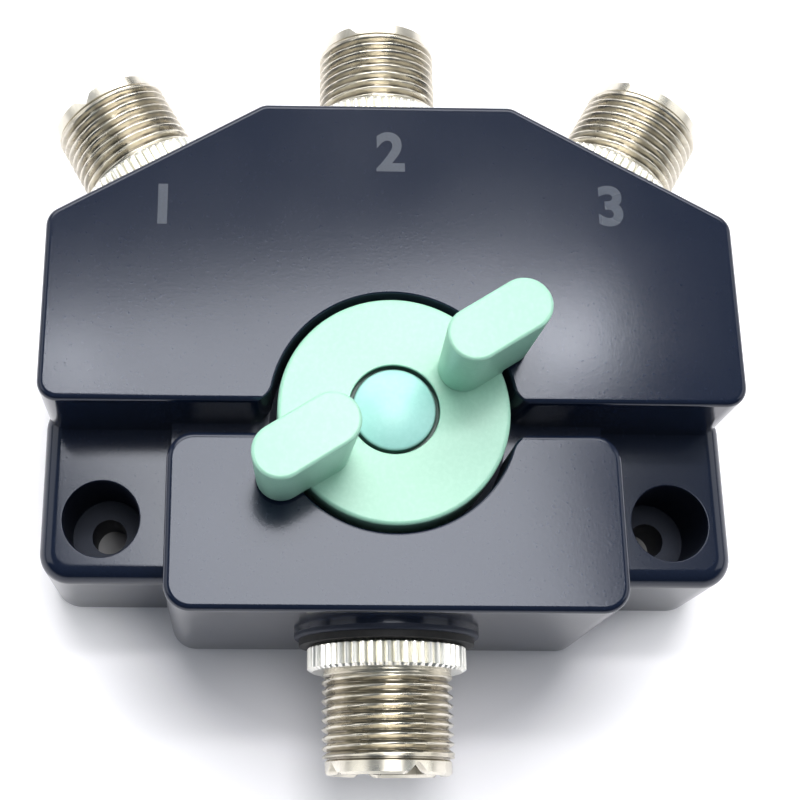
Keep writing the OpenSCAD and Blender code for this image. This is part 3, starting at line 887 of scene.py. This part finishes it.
class Finish:
    """A finish in the making: specks between two colours, blotches in the gloss, fine bumps."""

    def __init__(self, name, dark, light, scale=1000.0, blotch=60.0, metallic=0.0):
        self.material = bpy.data.materials.new(name)
        self.material.use_nodes = True
        self.tree = self.material.node_tree
        self.tree.nodes.clear()
        self.shader = put(self.tree, "ShaderNodeBsdfPrincipled", [("Metallic", metallic)])
        put(self.tree, "ShaderNodeOutputMaterial", [("Surface", self.shader.outputs[0])])
        values = {"Scale": scale, "Blotch Scale": blotch}
        speck = place_group(self.tree, "fine_speckle", values)
        self.blotches, self.height = speck["Blotches"], speck["Height"]
        self.colour = mix(self.tree, speck["Specks"], dark, light)

    def paint_over(self, mask, colour):
        """Another colour where a mask is 1."""
        self.colour = mix(self.tree, mask, self.colour, colour)

    def gloss(self, low, high):
        """Roughness that changes with the blotches."""
        return spread(self.tree, self.blotches, 0.0, 1.0, low, high)

    def done(self, rough, bump, depth=0.02):
        """The finished material. The depth of its bumps is in millimetres."""
        links = [("Height", self.height), ("Strength", bump), ("Distance", depth * MM)]
        normal = put(self.tree, "ShaderNodeBump", links).outputs[0]
        for socket, source in (
            ("Base Color", self.colour),
            ("Roughness", rough),
            ("Normal", normal),
        ):
            self.tree.links.new(source, self.shader.inputs[socket])
        return self.material


def plain(name, dark, light, rough, bump=0.1, depth=0.02, edges=None, **values):
    """A finish without places of its own, apart from edges lightened by wear and a painted
    highlight, and darker hollows.
    """
    finish = Finish(name, dark, light, **values)
    if edges:
        low, high, wear_and_highlight_colour, hollow_colour = edges
        edge_wear_and_highlight = place_group(finish.tree, "worn_and_highlit_edges", {"Low": low, "High": high})
        # Lighter edges and ridges: partly wear, partly a painted highlight.
        finish.paint_over(edge_wear_and_highlight["Edges"], wear_and_highlight_colour)
        if hollow_colour:
            # Darker in the hollows.
            finish.paint_over(edge_wear_and_highlight["Hollows"], hollow_colour)
    return finish.done(finish.gloss(*rough), bump, depth)


def casting_paint():
    """Near-black navy satin paint.

    It is matt in the screw recesses, in the knob's pocket and on the common port's seat.
    """
    dark, light = (0.004, 0.008, 0.023), (0.006, 0.011, 0.028)
    finish = Finish("navy_satin_paint", dark, light, scale=3200.0, blotch=45.0)
    finish.shader.inputs["Specular IOR Level"].default_value = 0.54
    finish.shader.inputs["Specular Tint"].default_value = (0.87, 0.91, 1.0, 1.0)
    tree = finish.tree
    place = put(tree, "ShaderNodeTexCoord").outputs["Object"]
    parts, flat = seen_from_above(tree, place)
    from_screw = measure(tree, flat, SCREW_HOLE_AT)
    recess = spread(tree, from_screw, (EAR_RECESS_R + HOLE_FADE) * MM, EAR_RECESS_R * MM)
    from_axis = measure(tree, flat)
    pocket = spread(tree, from_axis, (POCKET_R + HOLE_FADE) * MM, POCKET_R * MM)
    front = FRONT_D + DRAFT
    seat = spread(tree, parts["Y"], -front * MM, -(front + SEAT_FADE) * MM)
    matt = reckon(tree, "MAXIMUM", reckon(tree, "MAXIMUM", recess, pocket), seat)
    rough = reckon(tree, "MULTIPLY_ADD", matt, MATT_ADDED, finish.gloss(0.13, 0.17))
    return finish.done(rough, bump=0.14, depth=0.03)


def knob_plastic(name, dark, light, rough):
    """Moulded plastic with painted shade, darker down in the groove round the cap."""
    finish = Finish(name, dark, light, scale=1800.0)
    tree = finish.tree
    place = put(tree, "ShaderNodeTexCoord").outputs["Object"]
    parts, flat = seen_from_above(tree, place)
    outer, inner = ((CAP_R + CAP_GROOVE + outside) * MM for outside in GROOVE_OUTSIDE)
    near_cap = spread(tree, measure(tree, flat), outer, inner)
    upper, lower = ((KNOB_TOP - below) * MM for below in GROOVE_BELOW)
    sunk = spread(tree, parts["Z"], upper, lower)
    # Painted shade: darker down in the groove round the cap, on the knob and on the cap's side.
    finish.paint_over(reckon(tree, "MULTIPLY", near_cap, sunk), GROOVE_PAINTED_SHADE)
    return finish.done(finish.gloss(*rough), bump=0.05)


def make_materials():
    """The finish of each material slot, and of the pieces that have one of their own."""
    speckle_group()
    edge_group()
    plating = {"metallic": 1.0, "scale": 900.0, "blotch": 220.0, "bump": 0.03}
    metal = {"metallic": 1.0, "scale": 700.0}
    return {
        "body_paint": casting_paint(),
        "number_paint": plain(
            "grey_print", (0.028, 0.04, 0.066), (0.036, 0.05, 0.08), (0.27, 0.33), scale=2600.0
        ),
        "knob_plastic": knob_plastic(
            "mint_plastic", (0.34, 0.65, 0.505), (0.38, 0.69, 0.545), (0.28, 0.36)
        ),
        "cap_plastic": knob_plastic(
            "blue_green_plastic", (0.37, 0.72, 0.67), (0.41, 0.76, 0.71), (0.3, 0.38)
        ),
        "nickel": plain(
            "satin_nickel", (0.54, 0.5, 0.415), (0.65, 0.605, 0.5), (0.25, 0.31),
            edges=(0.52, 0.6, (0.88, 0.85, 0.76), (0.13, 0.115, 0.09)), **plating
        ),
        "ring_nickel": plain(
            "bright_nickel", (0.78, 0.76, 0.67), (0.88, 0.86, 0.77), (0.28, 0.36),
            edges=(0.51, 0.58, (0.97, 0.96, 0.9), None), **plating
        ),
        "gasket_rubber": plain(
            "black_rubber", (0.006, 0.006, 0.007), (0.014, 0.014, 0.015), (0.55, 0.7),
            scale=1500.0, bump=0.2
        ),
        "insulator_plastic": plain(
            "dark_phenolic", (0.02, 0.014, 0.009), (0.035, 0.024, 0.016), (0.35, 0.45), scale=900.0
        ),
        "insulator_board": plain(
            "brown_board", (0.16, 0.08, 0.03), (0.24, 0.13, 0.05), (0.4, 0.5), scale=500.0
        ),
        "silver": plain(
            "silver_contact", (0.7, 0.68, 0.62), (0.85, 0.83, 0.78), (0.2, 0.3), **metal
        ),
        "brass": plain(
            "turned_brass", (0.5, 0.36, 0.13), (0.66, 0.49, 0.2), (0.25, 0.35), **metal
        ),
        "steel": plain("zinc_steel", (0.4, 0.4, 0.41), (0.6, 0.6, 0.61), (0.28, 0.4), **metal),
        "cover_paint": plain(
            "black_cover_paint", (0.008, 0.009, 0.012), (0.016, 0.017, 0.021), (0.45, 0.55),
            scale=1800.0, bump=0.3, depth=0.03
        ),
    }


def dress_cad(frame, materials):
    """The CAD pieces that stay as they are get their finish by the record's slot."""
    slots = {part["node"]: part["material_slot"] for part in frame["record"]["subparts"]}
    for name, obj in frame["nodes"].items():
        for place in obj.material_slots:
            place.material = materials[slots[name]]


# ---- Table, lamps and camera ----

WHITE = (1.0, 1.0, 1.0)
TABLE_HALF = 6.0  # metres
TABLE_COLOUR = (0.9, 0.89, 0.93)
# Painted shade on the table right under the two screw holes.
TABLE_PAINTED_SHADE = (0.2, 0.2, 0.21)
# Distances in metres over which the table's colour (its painted shade under the screw holes) or
# its glow changes.
HOLE_PAINTED_SHADE = (0.0025, 0.0035)
NEAR_GLOW = (0.036, 0.048)
FAR_GLOW = (0.8, 1.6)
NEAR_GLOW_LEVEL = 0.3
FAR_GLOW_LEVEL = 0.7
SKY_COLOUR = (0.75, 0.87, 1.0)
# Heights on a sphere of radius 1, and the light's strength at the first two.
SKY_RISE = (0.1, 0.9)
SKY_LEVELS = (0.06, 0.25)
HORIZON = (0.16, 0.08)
ABOVE = (1.0, 0.99, 0.98)
BEHIND = (1.0, 0.98, 0.95)
BESIDE = (1.0, 0.99, 0.97)
# Name, place, a point that it faces, size, watts, colour and turn, in metres and degrees.
LAMPS = [
    ("overhead", (0.035, 0.125, 0.75), (0.035, 0.1251, 0), (0.29, 0.33), 2.25, ABOVE, 9.5),
    ("overhead_strip", (0.022, 0.24, 0.75), (0.022, 0.2401, 0), (0.365, 0.055), 1.35, ABOVE, 4.6),
    ("rear", (0, 0.85, 0.8), (0, 0, 0.02), (1.4, 0.6), 12.0, BEHIND, 0.0),
    ("left", (-0.8, 0.1, 0.5), (0, 0, 0.02), (0.8, 0.6), 1.9, BESIDE, 0.0),
    ("right", (0.8, 0.1, 0.5), (0, 0, 0.02), (0.8, 0.6), 2.1, BESIDE, 0.0),
]
CAMERA_AT = (-15.996, -46.91, 200.077)
CAMERA_TURN = -3.412
CAMERA_DOWN = 70.729
CAMERA_ROLL = 3.826
CAMERA_SENSOR = 36.0
CAMERA_FOCUS = 1475.548  # pixels
PICTURE = 800.0  # pixels
PICTURE_CENTRE = (288.0, 317.0)  # pixels
CAMERA_NEAR = 0.01  # metres
CAMERA_FAR = 20  # metres


def looked_at(tree):
    """1 for what is seen directly, in a reflection or through glass, and 0 for other light."""
    rays = put(tree, "ShaderNodeLightPath").outputs
    shiny = reckon(tree, "MAXIMUM", rays["Is Camera Ray"], rays["Is Glossy Ray"])
    return reckon(tree, "MAXIMUM", shiny, rays["Is Transmission Ray"])


def table():
    """A white table that glows white where it is looked at, but for the room under the part.

    Under the two screw holes it is painted darker, a painted shade that keeps the holes dark.
    """
    material = bpy.data.materials.new("white_table")
    material.use_nodes = True
    tree = material.node_tree
    tree.nodes.clear()
    place = put(tree, "ShaderNodeNewGeometry").outputs["Position"]
    flat = seen_from_above(tree, place)[1]
    # Painted shade: the table is darker right under the two screw holes, so they stay dark.
    clear = spread(tree, measure(tree, flat, SCREW_HOLE_AT), *HOLE_PAINTED_SHADE)
    colour = mix(tree, clear, TABLE_PAINTED_SHADE, TABLE_COLOUR)
    diffuse = put(tree, "ShaderNodeBsdfDiffuse", [("Color", colour)])
    away = measure(tree, place)
    near = spread(tree, away, *NEAR_GLOW, 0.0, NEAR_GLOW_LEVEL)
    far = spread(tree, away, *FAR_GLOW, 0.0, FAR_GLOW_LEVEL)
    seen = reckon(tree, "MULTIPLY", looked_at(tree), reckon(tree, "ADD", near, far))
    glow = put(tree, "ShaderNodeEmission", [("Color", (*WHITE, 1.0)), ("Strength", seen)])
    both = put(tree, "ShaderNodeAddShader", [(0, diffuse.outputs[0]), (1, glow.outputs[0])])
    put(tree, "ShaderNodeOutputMaterial", [("Surface", both.outputs[0])])
    low, high = -TABLE_HALF, TABLE_HALF
    corners = [(low, low, 0), (high, low, 0), (high, high, 0), (low, high, 0)]
    mesh = bpy.data.meshes.new("table")
    mesh.from_pydata(corners, [], [(0, 1, 2, 3)])
    mesh.materials.append(material)
    obj = placed("table", mesh)


def sky():
    """A dim blue-white sky, with a white horizon where it is looked at."""
    world = bpy.data.worlds.new("studio")
    bpy.context.scene.world = world
    world.use_nodes = True
    tree = world.node_tree
    back = tree.nodes["Background"]
    outward = put(tree, "ShaderNodeTexCoord").outputs["Generated"]
    height = put(tree, "ShaderNodeSeparateXYZ", [(0, outward)]).outputs["Z"]
    level = spread(tree, height, *SKY_RISE, *SKY_LEVELS)
    white = reckon(tree, "MULTIPLY", spread(tree, height, *HORIZON), looked_at(tree))
    strength = put(tree, "ShaderNodeMix", [("Factor", white), (2, level), (3, 1.0)]).outputs[0]
    tree.links.new(mix(tree, white, SKY_COLOUR, WHITE), back.inputs["Color"])
    tree.links.new(strength, back.inputs["Strength"])


def lamps():
    """Soft rectangular lamps."""
    for name, place, aim, size, watts, colour, turn in LAMPS:
        light = bpy.data.lights.new(name, "AREA")
        light.shape = "RECTANGLE"
        light.size, light.size_y = size
        light.energy = watts
        light.color = colour
        lamp = placed(name, light)
        lamp.location = place
        facing = (Vector(aim) - Vector(place)).to_track_quat("-Z", "Y").to_matrix()
        turned_round = facing @ Matrix.Rotation(math.radians(turn), 3, "Z")
        lamp.rotation_euler = turned_round.to_euler()


def camera():
    """The photograph's viewpoint, with a small shift for its framing."""
    data = bpy.data.cameras.new("camera")
    data.sensor_width = CAMERA_SENSOR
    data.lens = CAMERA_FOCUS * CAMERA_SENSOR / PICTURE
    data.shift_x = (PICTURE / 2 - PICTURE_CENTRE[0]) / PICTURE
    data.shift_y = (PICTURE_CENTRE[1] - PICTURE / 2) / PICTURE
    data.clip_start = CAMERA_NEAR
    data.clip_end = CAMERA_FAR
    turn, down, roll = (math.radians(v) for v in (CAMERA_TURN, CAMERA_DOWN, CAMERA_ROLL))
    level = math.cos(down)
    look = Vector((-math.sin(turn) * level, math.cos(turn) * level, -math.sin(down)))
    right = Vector((math.cos(turn), math.sin(turn), 0))
    up = right.cross(look)
    side = right * math.cos(roll) + up * math.sin(roll)
    top = up * math.cos(roll) - right * math.sin(roll)
    obj = placed("camera", data)
    obj.matrix_world = frame_matrix(side, top, -look, Vector(CAMERA_AT) * MM)
    bpy.context.scene.camera = obj


def main():
    bpy.context.scene.view_settings.view_transform = "Standard"
    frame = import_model()
    materials = make_materials()
    dress_cad(frame, materials)
    casting(materials["body_paint"])
    for port in PORTS:
        knurled_ring(port, materials["ring_nickel"])
        threaded_shell(port, materials["nickel"])
    knob(materials["knob_plastic"])
    knob_cap(materials["cap_plastic"])
    printed_numbers(materials["number_paint"])
    table()
    sky()
    lamps()
    camera()


main()
